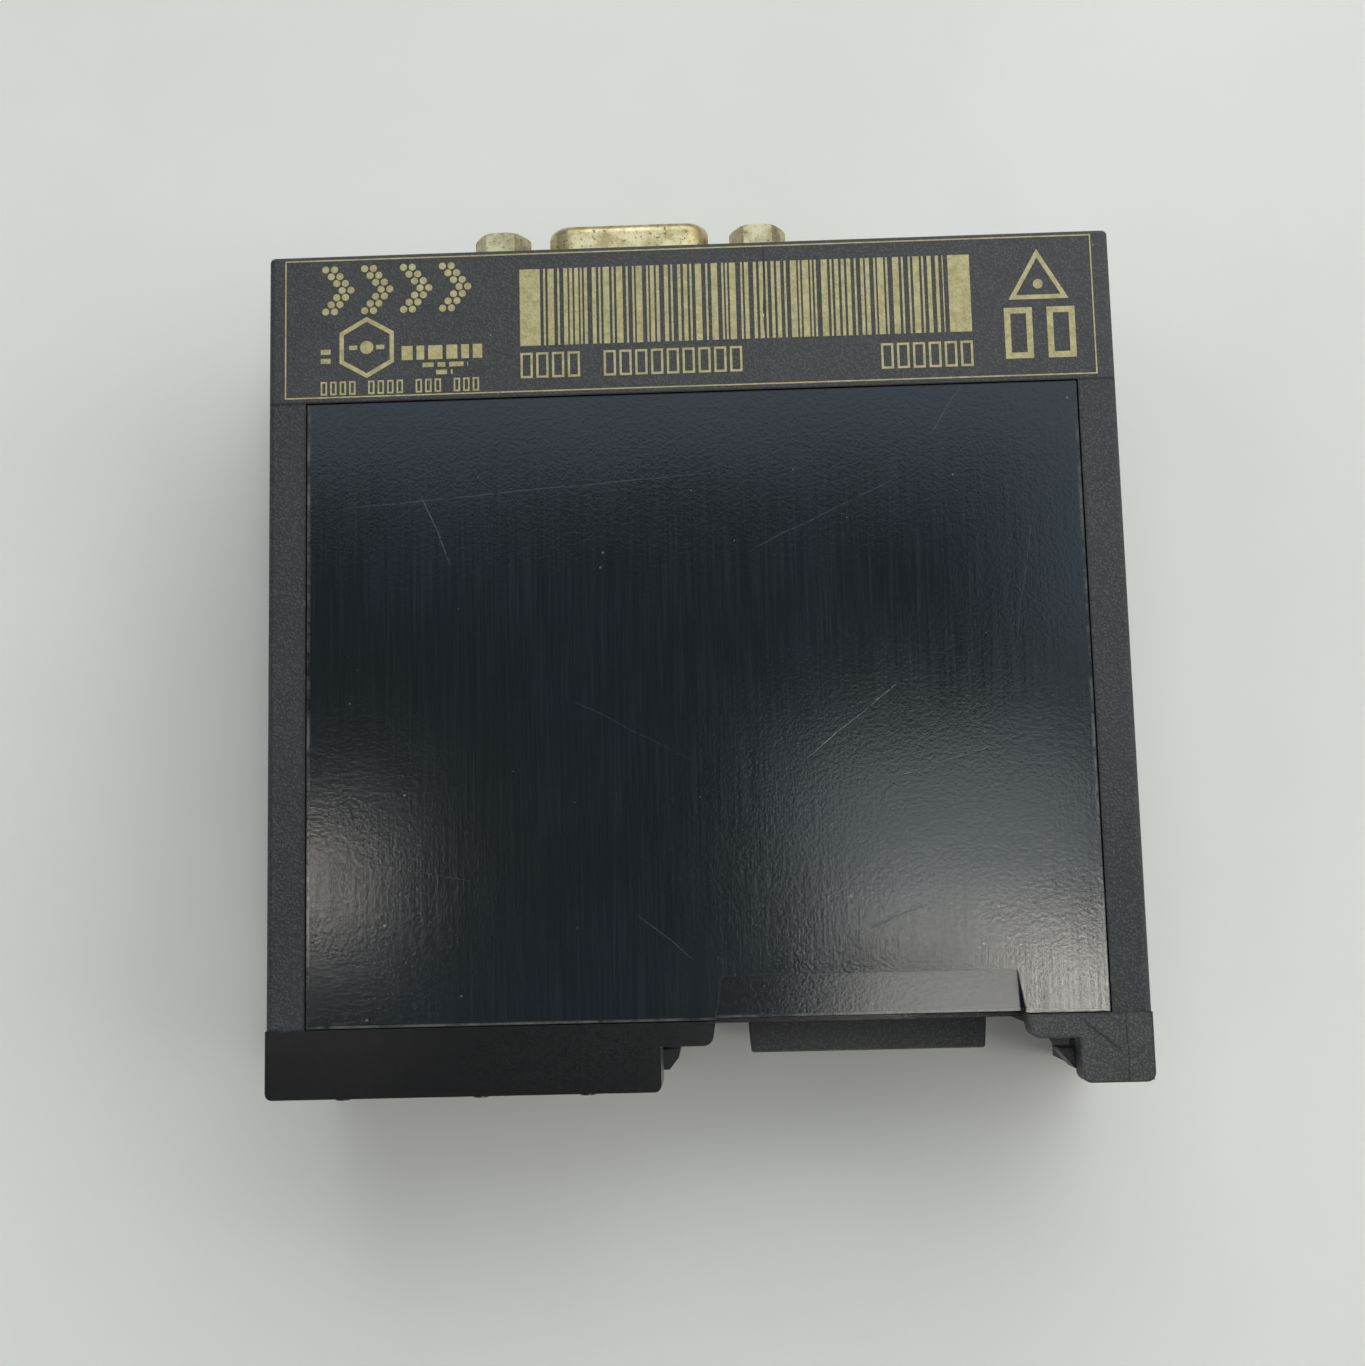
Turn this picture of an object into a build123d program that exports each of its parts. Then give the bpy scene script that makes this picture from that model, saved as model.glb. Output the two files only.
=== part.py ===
"""A slim control module for a 35 mm top-hat rail, lying on its side.

Frame: +Z is the module's right side, which is up. -Y is its front, with the port. -X is its top edge
when it hangs on a rail. The origin is under the middle of the whole object, on the face it lies on.
All sizes are in millimetres.
"""

import math
import os

from build123d import *

# ---------------------------------------------------------------- driving dimensions
height = 76.0  # along X, the module's height on the rail
depth = 75.2  # along Y, front face to the rear of the legs
width = 25.4  # along Z, one slot of the rail
port_proud = 5.8  # jackscrew tips in front of the front face
pip_proud = 0.3  # small domes behind the legs
wall = 1.8
edge_r = 0.6  # rounding of outer corners
front_edge_r = 0.4
gap = 0.1  # fit between mouldings

cap_depth = 13.8  # front cap, face to seam
base_depth = 5.85  # rear base, seam to rear face
ledge_depth = 3.8  # rail ledges, in from the rear face
notch_depth = 9.65  # top of the bus notch, in from the rear face
recess_depth = 5.45  # floor of the bus notch, in from the rear face

strip = 3.4  # grained margin on each side of the cover
cover_sunk = 0.2
cover_thick = 1.5
tongue_thick = 1.3  # cover edges that run in the shell's grooves

rail_slot = 35.7  # a 35 mm rail with play
rail_centre = -13.93
notch_centre = -14.1
notch_half_top = 12.65
notch_half_mouth = 13.6
ramp_drop = 3.2  # how far the notch ramp falls over its length
ramp_skin = 1.2

port_x = 5.68  # centre of the port along the height
port_pitch = 24.99  # between the jackscrews

board_z = 4.6
board_thick = 1.6

# ---------------------------------------------------------------- places worked out from them
z_mid = width / 2
y_face = port_proud - (depth + port_proud + pip_proud) / 2
y_seam = y_face + cap_depth
y_back = y_face + depth
y_base = y_back - base_depth
y_ledge = y_back - ledge_depth
y_notch = y_back - notch_depth
y_recess = y_back - recess_depth
half = height / 2
inner_half = half - wall
cover_half = half - strip
cover_top = width - cover_sunk
leg_long = rail_centre + rail_slot / 2  # inner face of the long leg
leg_short = rail_centre - rail_slot / 2  # inner face of the short leg
board_top = board_z + board_thick


def block(x, y, z, mode=Mode.ADD):
    """A box between two values on each axis."""
    middle = ((x[0] + x[1]) / 2, (y[0] + y[1]) / 2, (z[0] + z[1]) / 2)
    with Locations(middle):
        Box(abs(x[1] - x[0]), abs(y[1] - y[0]), abs(z[1] - z[0]), mode=mode)


def facing_front(y):
    """A plane across the depth at y, whose normal points to the front (-Y)."""
    return Plane.XZ.offset(-y)


def blocks(centres, size, mode=Mode.ADD):
    """The same box at many places."""
    with Locations(*centres):
        Box(*size, mode=mode)


def save(piece, name):
    piece.part.label = name
    export_step(piece.part, f"parts/{name}.step")


def notch_half(y):
    """Half the width of the bus notch at depth y."""
    share = (y - y_notch) / (y_ledge - y_notch)
    return notch_half_top + (notch_half_mouth - notch_half_top) * share


def notch_sketch(margin, y_end):
    """The notch's outline in plan, grown by margin, from its top edge to y_end."""
    top = notch_half(y_notch) + margin
    end = notch_half(y_end) + margin
    with BuildSketch() as outline:
        with BuildLine():
            Polyline(
                (notch_centre - top, y_notch - margin),
                (notch_centre + top, y_notch - margin),
                (notch_centre + end, y_end),
                (notch_centre - end, y_end),
                close=True,
            )
        make_face()
    return outline.sketch


def ramp_plane(surface_z, shift=0.0):
    """The plane of the notch ramp, which falls from surface_z towards the rear."""
    run = y_recess - y_notch
    length = math.hypot(run, ramp_drop)
    normal = (0, ramp_drop / length, run / length)
    return Plane(origin=(0, y_notch, surface_z), x_dir=(1, 0, 0), z_dir=normal).offset(shift)


def ramp_void(surface_z, y_end):
    """The space above the ramp, up past the surface it falls from."""
    with BuildPart() as void:
        with BuildSketch(Plane.XY.offset(surface_z - 2 * ramp_drop)):
            add(notch_sketch(0, y_end + 1))
        extrude(amount=2 * ramp_drop + 1)
        split(bisect_by=ramp_plane(surface_z), keep=Keep.TOP)
    return void.part


def ramp_tub(surface_z, y_end):
    """The ramp with its two cheeks, one even skin thick, filled in to the surface."""
    with BuildPart() as tub:
        with BuildSketch(Plane.XY.offset(surface_z - 2 * ramp_drop)):
            add(notch_sketch(ramp_skin, y_end))
        extrude(amount=2 * ramp_drop)
        split(bisect_by=ramp_plane(surface_z, -ramp_skin), keep=Keep.TOP)
    return tub.part


os.makedirs("parts", exist_ok=True)

# ---------------------------------------------------------------- front cap
front_wall = 2.0
port_window = (31.4, 13.1)
foil_size = (22.0, 19.0)
foil_x = -24.5
foil_sunk = 0.35
led_pitch = 4.5
led_x = [foil_x + led_pitch * (i - 1.5) for i in range(4)]
led_z = 7.6
led_hole_r = 1.15
card_size = (12.0, 19.0)
card_x = 29.0
card_sunk = 1.2
lip_length = 2.2
lip_thick = 1.0
lip_top = 22.2  # the lip stays under the cover's edges
lug_z = (8.0, 16.0)
lug_y = (y_seam + 0.8, y_seam + 1.8)
lug_proud = 0.9

with BuildPart() as front_cap:
    with BuildSketch(facing_front(y_face)):
        with Locations((0, z_mid)):
            Rectangle(height, width)
    extrude(amount=-cap_depth)
    fillet(front_cap.edges().filter_by(Axis.Y), edge_r)
    fillet(front_cap.faces().sort_by(Axis.Y)[0].edges(), front_edge_r)
    block((-inner_half, inner_half), (y_face + front_wall, y_seam), (wall, width - wall), Mode.SUBTRACT)
    # the lip that plugs into the shell, and the thicker rim that carries it
    block((-inner_half, inner_half), (y_seam - 2.5, y_seam), (wall, width - wall))
    block((-inner_half + gap, inner_half - gap), (y_seam, y_seam + lip_length), (wall + gap, lip_top))
    block(
        (-inner_half + gap + lip_thick, inner_half - gap - lip_thick),
        (y_seam - 2.5, y_seam + lip_length),
        (wall + gap + lip_thick, lip_top - lip_thick),
        Mode.SUBTRACT,
    )
    for side in (-1, 1):
        wall_x = side * (inner_half - gap)
        block((wall_x, wall_x + side * lug_proud), lug_y, lug_z)
    # windows and sunk fields of the front face
    with BuildSketch(facing_front(y_face)):
        with Locations((port_x, z_mid)):
            RectangleRounded(*port_window, 0.6)
        for x in led_x:
            with Locations((x, led_z)):
                Circle(led_hole_r)
    extrude(amount=-front_wall, mode=Mode.SUBTRACT)
    with BuildSketch(facing_front(y_face)):
        with Locations((foil_x, z_mid)):
            RectangleRounded(*foil_size, 0.8)
    extrude(amount=-foil_sunk, mode=Mode.SUBTRACT)
    with BuildSketch(facing_front(y_face)):
        with Locations((card_x, z_mid)):
            RectangleRounded(*card_size, 0.6)
    extrude(amount=-card_sunk, mode=Mode.SUBTRACT)
save(front_cap, "front_cap")

# ---------------------------------------------------------------- body shell
shell_length = y_base - y_seam
shell_middle = (y_seam + y_base) / 2
groove_z = width - wall + 0.4  # underside of the flanges over the cover's edges
rib_out = 1.2
vent_count = 9
vent_pitch = 4.2
vent_width = 1.7
vent_z = (8.6, 20.4)
boss_r = 3.0
boss_hole_r = 1.1
boss_places = [(-31.0, 25.0), (31.0, -15.0)]

with BuildPart() as body_shell:
    with BuildSketch(facing_front(y_seam)):
        with BuildLine():
            Polyline(
                (-half, 0),
                (half, 0),
                (half, width),
                (cover_half, width),
                (cover_half, groove_z),
                (inner_half, groove_z),
                (inner_half, wall),
                (-inner_half, wall),
                (-inner_half, groove_z),
                (-cover_half, groove_z),
                (-cover_half, width),
                (-half, width),
                close=True,
            )
        make_face()
    extrude(amount=-shell_length)
    corners = body_shell.edges().filter_by(Axis.Y).filter_by(lambda e: abs(abs(e.center().X) - half) < 0.01)
    fillet(corners, edge_r)
    for side in (-1, 1):
        rib_x = (side * (inner_half - rib_out), side * inner_half)
        ribs_y = (y_seam + lip_length + 0.4, y_base - 2.4)
        block(rib_x, ribs_y, (board_z - 1.2, board_z - gap))
        block(rib_x, ribs_y, (board_top + gap, board_top + 1.2))
        block(rib_x, ribs_y, (groove_z - 2.6, groove_z - tongue_thick - 0.3))
        block((side * inner_half, side * half), (lug_y[0] - gap, lug_y[1] + gap), (7.8, 16.2), Mode.SUBTRACT)
        for i in range(vent_count):
            vent_y = shell_middle + vent_pitch * (i - (vent_count - 1) / 2)
            vent = (vent_y - vent_width / 2, vent_y + vent_width / 2)
            block((side * (inner_half - 0.5), side * (half + 0.5)), vent, vent_z, Mode.SUBTRACT)
    for place in boss_places:
        with BuildSketch(Plane.XY.offset(wall)):
            with Locations(place):
                Circle(boss_r)
        extrude(amount=board_z - wall - gap)
    add(mirror(ramp_tub(0, y_base), about=Plane.XY))
    add(mirror(ramp_void(0, y_base), about=Plane.XY), mode=Mode.SUBTRACT)
    for place in boss_places:
        with BuildSketch(Plane.XY.offset(board_z)):
            with Locations(place):
                Circle(boss_hole_r)
        extrude(amount=-3.6, mode=Mode.SUBTRACT)
save(body_shell, "body_shell")

# ---------------------------------------------------------------- side cover
cover_y = (y_seam + 0.08, y_base - 0.08)
tongue_top = groove_z - gap
tongue_half = inner_half - 2 * gap

with BuildPart() as side_cover:
    with BuildSketch(facing_front(cover_y[0])):
        with BuildLine():
            Polyline(
                (-tongue_half, tongue_top - tongue_thick),
                (-cover_half + 2.0, tongue_top - tongue_thick),
                (-cover_half + 2.0, cover_top - cover_thick),
                (cover_half - 2.0, cover_top - cover_thick),
                (cover_half - 2.0, tongue_top - tongue_thick),
                (tongue_half, tongue_top - tongue_thick),
                (tongue_half, tongue_top),
                (cover_half - gap, tongue_top),
                (cover_half - gap, cover_top),
                (-cover_half + gap, cover_top),
                (-cover_half + gap, tongue_top),
                (-tongue_half, tongue_top),
                close=True,
            )
        make_face()
    extrude(amount=cover_y[0] - cover_y[1])
    add(ramp_tub(cover_top, cover_y[1]))
    add(ramp_void(cover_top, cover_y[1]), mode=Mode.SUBTRACT)
save(side_cover, "side_cover")

# ---------------------------------------------------------------- rear base, with the rail legs
hook_reach = 1.35
hook_gap = 1.1  # rail lip thickness with play
hook_top = y_ledge + hook_gap
plate_thick = 2.6  # side plates of the base
plate_low = (0, plate_thick)
plate_high = (width - plate_thick, width)
mouth_z = (5.7, 19.7)  # narrow part of the clip's channel
slide_z = (4.5, 20.9)  # wide part of the clip's channel
slide_y = (y_back - 3.5, y_back - 1.2)
slide_stop = leg_long + 1.5
spring_r = 1.6
spring_y = y_back - 2.5
post_x = (26.4, 28.0)
window_x = (12.0, 28.3)
window_z = (z_mid - 2.0, z_mid + 2.0)
pip_x = (31.73, 19.7, 10.4)
pip_r = 0.85
floor_front = y_recess - 1.8
bus_x = -14.3
bus_size = (21.2, 11.6)
end_inner = -half + wall
mouth_long = notch_centre + notch_half_mouth
mouth_short = notch_centre - notch_half_mouth


def foot_sketch(points, corner_r):
    """A plate of the base in plan, with its rear corners rounded."""
    with BuildSketch() as plan:
        with BuildLine():
            Polyline(*points, close=True)
        make_face()
        fillet(plan.vertices().filter_by(lambda v: v.Y > y_back - 0.1), corner_r)
        fillet(plan.vertices().filter_by(lambda v: abs(v.Y - y_ledge) < 0.1 and v.X in (mouth_long, mouth_short)), 0.9)
    return plan.sketch


long_foot = foot_sketch(
    [
        (half, y_base),
        (half, y_back),
        (leg_long, y_back),
        (leg_long, y_ledge),
        (mouth_long, y_ledge),
        (notch_centre + notch_half(y_base), y_base),
    ],
    0.6,
)
short_foot = foot_sketch(
    [
        (-half, y_base),
        (-half, y_back),
        (leg_short, y_back),
        (leg_short, y_ledge),
        (mouth_short, y_ledge),
        (notch_centre - notch_half(y_base), y_base),
    ],
    0.8,
)

with BuildPart() as rear_base:
    extrude(long_foot, amount=width)
    with BuildSketch(Plane.XY.offset(plate_high[0])):
        add(short_foot)
    extrude(amount=plate_thick)
    # lower plate of the short leg, cut back so that the rail can swing in
    with BuildSketch() as relieved_foot:
        with BuildLine():
            Polyline(
                (-half, y_base),
                (-half, y_back),
                (leg_short - 2.9, y_back),
                (leg_short - 1.6, y_back - 2.0),
                (leg_short - 1.6, y_ledge - 0.4),
                (mouth_short, y_ledge - 0.4),
                (notch_centre - notch_half(y_base), y_base),
                close=True,
            )
        make_face()
    extrude(amount=plate_thick)
    # end wall and inner post of the short leg
    block((-half, end_inner), (y_base, y_back - 0.1), (edge_r, width - edge_r))
    block((end_inner - 1, leg_short - 1.8), (y_base, y_back - 0.15), (plate_thick - 0.5, 11.0))
    # walls that close the shell: behind the short leg, across the notch, and behind the long leg
    block((end_inner + gap, mouth_short - 2.4), (y_base - 1.6, y_base), (wall + gap, lip_top))
    block((end_inner - 0.5, mouth_short - 0.6), (y_base, y_base + 1.2), (plate_thick - 0.5, plate_high[0] + 0.5))
    block((mouth_short - 3.4, mouth_long + 3.4), (floor_front, y_base), (4.8, 20.4))
    block((mouth_short - 1, mouth_long + 1), (y_base, y_recess), (ramp_drop + 0.1, cover_top - ramp_drop - 0.1))
    block((4.5, inner_half - gap), (y_base - 2.0, y_base), (wall + gap, lip_top))
    block((6.0, inner_half - gap - 1.4), (y_base - 2.0, y_base), (wall + 1.5, lip_top - 1.4), Mode.SUBTRACT)
    # fixed hook of the short leg
    with BuildSketch(Plane.XY.offset(plate_high[0] - 3.2)):
        with BuildLine():
            Polyline(
                (end_inner - 0.5, hook_top),
                (leg_short + hook_reach, hook_top),
                (leg_short + hook_reach, hook_top + 0.2),
                (leg_short + 0.1, y_back - 1.0),
                (end_inner - 0.5, y_back - 1.0),
                close=True,
            )
        make_face()
    extrude(amount=3.2)
    # the clip's channel: narrow mouth, wide slot under two lips, and a groove for its spring
    block((leg_long - 1, half + 1), (slide_y[0], y_back + 1), mouth_z, Mode.SUBTRACT)
    block((slide_stop, half + 1), slide_y, slide_z, Mode.SUBTRACT)
    block((window_x[0] - 0.2, post_x[0]), (slide_y[0] - 1.0, slide_y[0]), window_z, Mode.SUBTRACT)
    block(post_x, (slide_y[0] - 0.5, y_back - 1.1), (z_mid - 1.6, z_mid + 1.6))
    # seat of the bus socket
    block(
        (bus_x - bus_size[0] / 2 - gap, bus_x + bus_size[0] / 2 + gap),
        (floor_front - 1, y_recess + 1),
        (z_mid - bus_size[1] / 2 - gap, z_mid + bus_size[1] / 2 + gap),
        Mode.SUBTRACT,
    )
    for x in pip_x:
        for z in (2.3, width - 2.3):
            with BuildSketch(facing_front(y_back)):
                with Locations((x, z)):
                    Circle(pip_r)
            extrude(amount=-pip_proud, taper=35)
save(rear_base, "rear_base")

# ---------------------------------------------------------------- sliding rail clip and its spring
clip_travel = 3.0
clip_gap = 0.2
clip_rear = y_back - 0.8
tail_end = half - 0.8
clip_hook_z = (9.9, 15.5)

with BuildPart() as rail_clip:
    block(
        (leg_long + 0.5, tail_end),
        (slide_y[0] + clip_gap, clip_rear),
        (mouth_z[0] + clip_gap, mouth_z[1] - clip_gap),
    )
    with BuildSketch(Plane.XY.offset(clip_hook_z[0])):
        with BuildLine():
            Polyline(
                (leg_long + 1, hook_top),
                (leg_long - hook_reach, hook_top),
                (leg_long - hook_reach + 0.15, y_back - 1.95),
                (leg_long - 0.35, clip_rear - 0.1),
                (leg_long + 1, clip_rear - 0.1),
                close=True,
            )
        make_face()
    extrude(amount=clip_hook_z[1] - clip_hook_z[0])
    block(
        (slide_stop + clip_gap, tail_end - 0.8),
        (slide_y[0] + clip_gap, slide_y[1] - clip_gap),
        (slide_z[0] + clip_gap, slide_z[1] - clip_gap),
    )
    block(window_x, (slide_y[0] - 1, y_back), window_z, Mode.SUBTRACT)
    # mouth for a screwdriver blade in the tail
    block((tail_end - 4.5, tail_end), (clip_rear - 1.9, clip_rear - 0.7), (z_mid - 3, z_mid + 3), Mode.SUBTRACT)
    # grip grooves across the tail
    for i in range(4):
        groove_x = 30.2 + 0.8 * i
        grip_z = (mouth_z[0] + 1.5, mouth_z[1] - 1.5)
        block((groove_x, groove_x + 0.4), (clip_rear - 0.35, clip_rear), grip_z, Mode.SUBTRACT)
save(rail_clip, "rail_clip")

wire_r = 0.22
spring_end = window_x[0] + 0.05
spring_length = post_x[0] - spring_end - 0.05
spring_turns = 9

with BuildPart() as clip_spring:
    coil_length = spring_length - 2 * wire_r
    with BuildLine() as coil_line:
        coil = Helix(
            pitch=coil_length / spring_turns,
            height=coil_length,
            radius=spring_r - wire_r,
            center=(spring_end + wire_r, spring_y, z_mid),
            direction=(1, 0, 0),
        )
    with BuildSketch(Plane(origin=coil @ 0, z_dir=coil % 0)):
        Circle(wire_r)
    sweep(path=coil, is_frenet=True)
save(clip_spring, "clip_spring")

# ---------------------------------------------------------------- main board
board_front = y_face + 3.6
board_rear = y_notch - 1.2
board_narrow = inner_half - 2.4
board_wide = inner_half - 2 * gap

with BuildPart() as main_board:
    block((-board_narrow, board_narrow), (board_front, board_rear), (board_z, board_top))
    block((-board_wide, board_wide), (y_seam + lip_length + 0.6, board_rear), (board_z, board_top))
    for place in boss_places:
        with BuildSketch(Plane.XY.offset(board_z)):
            with Locations(place):
                Circle(1.4)
        extrude(amount=board_thick, mode=Mode.SUBTRACT)
save(main_board, "main_board")

with BuildPart() as board_screws:
    for place in boss_places:
        with BuildSketch(Plane.XY.offset(board_top)):
            with Locations(place):
                Circle(2.3)
        extrude(amount=1.5)
        with BuildSketch(Plane.XY.offset(board_top)):
            with Locations(place):
                Circle(boss_hole_r - 0.03)
        extrude(amount=-4.4)
    fillet(board_screws.faces().group_by(Axis.Z)[-1].edges(), 0.5)
    for place in boss_places:
        with BuildSketch(Plane.XY.offset(board_top + 1.5)):
            with Locations(place):
                Rectangle(2.6, 0.5)
                Rectangle(0.5, 2.6)
        extrude(amount=-0.9, mode=Mode.SUBTRACT)
save(board_screws, "board_screws")

# ---------------------------------------------------------------- nine-way port
flange_size = (30.8, 12.5)
flange_thick = 0.8
flange_y = y_face + 0.2
shell_long = 16.33
shell_short = 8.3
shell_skin = 0.45
shell_tip = y_face - port_proud + 0.1
shell_slope = 10.0  # degrees that the short sides of the D lean
contact_pitch = 2.77
row_gap = 2.84
jack_x = [port_x - port_pitch / 2, port_x + port_pitch / 2]


def d_outline(inset, y):
    """The port's D outline, wide side up (+Z), drawn in by inset, on a plane at y."""
    lean = shell_short / 2 * math.tan(math.radians(shell_slope))
    top = shell_long / 2
    with BuildSketch(facing_front(y)) as outline:
        with BuildLine():
            Polyline(
                (port_x - top, z_mid + shell_short / 2),
                (port_x + top, z_mid + shell_short / 2),
                (port_x + top - 2 * lean, z_mid - shell_short / 2),
                (port_x - top + 2 * lean, z_mid - shell_short / 2),
                close=True,
            )
        make_face()
        fillet(outline.vertices(), 2.4)
        if inset:
            offset(amount=-inset, mode=Mode.REPLACE)
    return outline.sketch


def contact_places():
    """Centres of the nine contacts: five on the wide side, four on the narrow one."""
    upper = [(port_x + contact_pitch * (i - 2), z_mid + row_gap / 2) for i in range(5)]
    lower = [(port_x + contact_pitch * (i - 1.5), z_mid - row_gap / 2) for i in range(4)]
    return upper + lower


with BuildPart() as port_shell:
    with BuildSketch(facing_front(flange_y)):
        with Locations((port_x, z_mid)):
            RectangleRounded(*flange_size, 1.2)
    extrude(amount=-flange_thick)
    extrude(d_outline(0, flange_y), amount=flange_y - shell_tip)
    fillet(port_shell.faces().sort_by(Axis.Y)[0].edges(), 0.9)
    extrude(d_outline(shell_skin, flange_y + flange_thick), amount=flange_y + flange_thick - shell_tip - 0.5, mode=Mode.SUBTRACT)
    extrude(d_outline(1.25, flange_y), amount=flange_y - shell_tip, mode=Mode.SUBTRACT)
    with BuildSketch(facing_front(flange_y)):
        for x in jack_x:
            with Locations((x, z_mid)):
                Circle(1.55)
    extrude(amount=-flange_thick, mode=Mode.SUBTRACT)
save(port_shell, "port_shell")

insulator_rear = flange_y + 9.0
contact_hole_r = 0.62

with BuildPart() as port_insulator:
    extrude(d_outline(shell_skin + 0.05, flange_y), amount=flange_y - shell_tip - 0.55)
    extrude(d_outline(1.3, flange_y), amount=flange_y - shell_tip - 0.15)
    extrude(d_outline(shell_skin + 0.05, flange_y), amount=-flange_thick)
    block(
        (port_x - 9.6, port_x + 9.6),
        (flange_y + flange_thick, insulator_rear),
        (z_mid - 4.6, z_mid + 4.6),
    )
    with BuildSketch(facing_front(shell_tip)):
        for place in contact_places():
            with Locations(place):
                Circle(contact_hole_r)
    extrude(amount=-(insulator_rear - shell_tip), mode=Mode.SUBTRACT)
save(port_insulator, "port_insulator")

with BuildPart() as port_contacts:
    for x, z in contact_places():
        with BuildSketch(facing_front(shell_tip + 0.9)):
            with Locations((x, z)):
                Circle(contact_hole_r - 0.05)
        extrude(amount=-(insulator_rear - shell_tip - 0.9))
        with BuildSketch(facing_front(shell_tip + 0.9)):
            with Locations((x, z)):
                Circle(0.4)
        extrude(amount=-5.0, mode=Mode.SUBTRACT)
        # tail: back from the insulator, then down through the board
        tail_y = insulator_rear + (1.2 if z < z_mid else 3.9)
        block((x - 0.3, x + 0.3), (insulator_rear - 0.2, tail_y + 0.3), (z - 0.3, z + 0.3))
        block((x - 0.3, x + 0.3), (tail_y - 0.3, tail_y + 0.3), (board_top + 0.02, z + 0.3))
save(port_contacts, "port_contacts")

bracket_plate = 1.6
bracket_front = flange_y + flange_thick

with BuildPart() as port_bracket:
    bracket_y = (bracket_front, bracket_front + bracket_plate)
    block((port_x - 15.2, port_x + 15.2), bracket_y, (z_mid - 6.1, z_mid + 6.1))
    for side in (-1, 1):
        foot = (port_x + side * 10.2, port_x + side * 15.2)
        foot_y = (bracket_front + 1.2, bracket_front + 10.0)
        block(foot, foot_y, (board_top + 0.02, board_top + 2.2))
        block((foot[1] - side * 0.6, foot[1]), foot_y, (board_top + 0.02, z_mid + 5.0))
    block(
        (port_x - 9.65, port_x + 9.65),
        (bracket_front - 1, bracket_front + bracket_plate + 1),
        (z_mid - 4.65, z_mid + 4.65),
        Mode.SUBTRACT,
    )
    with BuildSketch(facing_front(bracket_front)):
        for x in jack_x:
            with Locations((x, z_mid)):
                Circle(1.55)
    extrude(amount=-bracket_plate, mode=Mode.SUBTRACT)
save(port_bracket, "port_bracket")

jack_flats = 4.75
washer_thick = 0.5
jack_seat = flange_y - washer_thick
jack_tip = y_face - port_proud
thread_bore_r = 1.2
shank_r = 1.42
shank_length = 5.6

with BuildPart() as jackscrews:
    for x in jack_x:
        with BuildSketch(facing_front(jack_seat)):
            with Locations((x, z_mid)):
                RegularPolygon(jack_flats / 2, 6, major_radius=False)
        extrude(amount=jack_seat - jack_tip)
        # the turned corners of the tip
        with BuildSketch(Plane.XY.offset(z_mid)):
            with BuildLine():
                Polyline((x + 2.35, jack_tip - 0.1), (x + 3, jack_tip - 0.1), (x + 3, jack_tip + 0.35), close=True)
            make_face()
        revolve(axis=Axis((x, 0, z_mid), (0, 1, 0)), mode=Mode.SUBTRACT)
        with BuildSketch(facing_front(jack_seat)):
            with Locations((x, z_mid)):
                Circle(shank_r)
        extrude(amount=-shank_length)
        with BuildSketch(facing_front(jack_tip)):
            with Locations((x, z_mid)):
                Circle(thread_bore_r)
        extrude(amount=-4.6, mode=Mode.SUBTRACT)
save(jackscrews, "jackscrews")

with BuildPart() as jack_washers:
    with BuildSketch(facing_front(jack_seat)):
        for x in jack_x:
            with Locations((x, z_mid)):
                Circle(2.9)
                Circle(1.5, mode=Mode.SUBTRACT)
    extrude(amount=-washer_thick)
save(jack_washers, "jack_washers")

nut_front = bracket_front + bracket_plate
with BuildPart() as jack_nuts:
    with BuildSketch(facing_front(nut_front)):
        for x in jack_x:
            with Locations((x, z_mid)):
                RegularPolygon(1.95, 6, major_radius=False, rotation=30)
                Circle(shank_r + 0.03, mode=Mode.SUBTRACT)
    extrude(amount=-2.0)
save(jack_nuts, "jack_nuts")

# ---------------------------------------------------------------- bus socket at the rear
bus_end = y_back - 2.5
bus_front = board_rear - 4.5
bus_floor = bus_end - 7.0
slot_size = (18.6, 5.0)
bus_pins = 9
bus_pitch = 2.0
pin_x = [bus_x + bus_pitch * (i - (bus_pins - 1) / 2) for i in range(bus_pins)]
pin_z = (z_mid - slot_size[1] / 2 - 0.5, z_mid + slot_size[1] / 2 + 0.5)

with BuildPart() as bus_socket:
    block(
        (bus_x - bus_size[0] / 2, bus_x + bus_size[0] / 2),
        (bus_front, y_recess),
        (z_mid - bus_size[1] / 2, z_mid + bus_size[1] / 2),
    )
    with BuildSketch(facing_front(y_recess)):
        with Locations((bus_x, z_mid)):
            Rectangle(*bus_size)
    extrude(amount=-(bus_end - y_recess), taper=4)
    fillet(bus_socket.faces().sort_by(Axis.Y)[-1].edges(), 0.3)
    for side in (-1, 1):
        stand = bus_x + side * (bus_size[0] / 2 - 1.2)
        block((stand - 1.2, stand + 1.2), (bus_front, bus_front + 4.0), (board_top + 0.02, z_mid))
    block(
        (bus_x - slot_size[0] / 2, bus_x + slot_size[0] / 2),
        (bus_floor, bus_end + 1),
        (z_mid - slot_size[1] / 2, z_mid + slot_size[1] / 2),
        Mode.SUBTRACT,
    )
    pin_y = (bus_front + bus_end) / 2
    pin_length = bus_end - bus_front
    blocks([(x, pin_y - 0.5, z) for x in pin_x for z in pin_z], (1.1, pin_length - 1.0, 1.2), Mode.SUBTRACT)
save(bus_socket, "bus_socket")

with BuildPart() as bus_contacts:
    for z, tail in zip(pin_z, (0.8, 2.4)):
        tail_y = bus_front - tail
        run = bus_end - 1.4 - tail_y
        drop = z - board_top
        blocks([(x, tail_y + run / 2, z) for x in pin_x], (0.7, run + 0.3, 0.3))
        blocks([(x, tail_y, board_top + 0.02 + drop / 2) for x in pin_x], (0.7, 0.3, drop))
save(bus_contacts, "bus_contacts")

# ---------------------------------------------------------------- parts soldered on the board
lift = board_top + 0.02


def chip(centre, size, stand=0.15):
    """A moulded package that stands a little off the board."""
    x, y = centre
    block((x - size[0] / 2, x + size[0] / 2), (y - size[1] / 2, y + size[1] / 2), (lift + stand, lift + size[2]))


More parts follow.
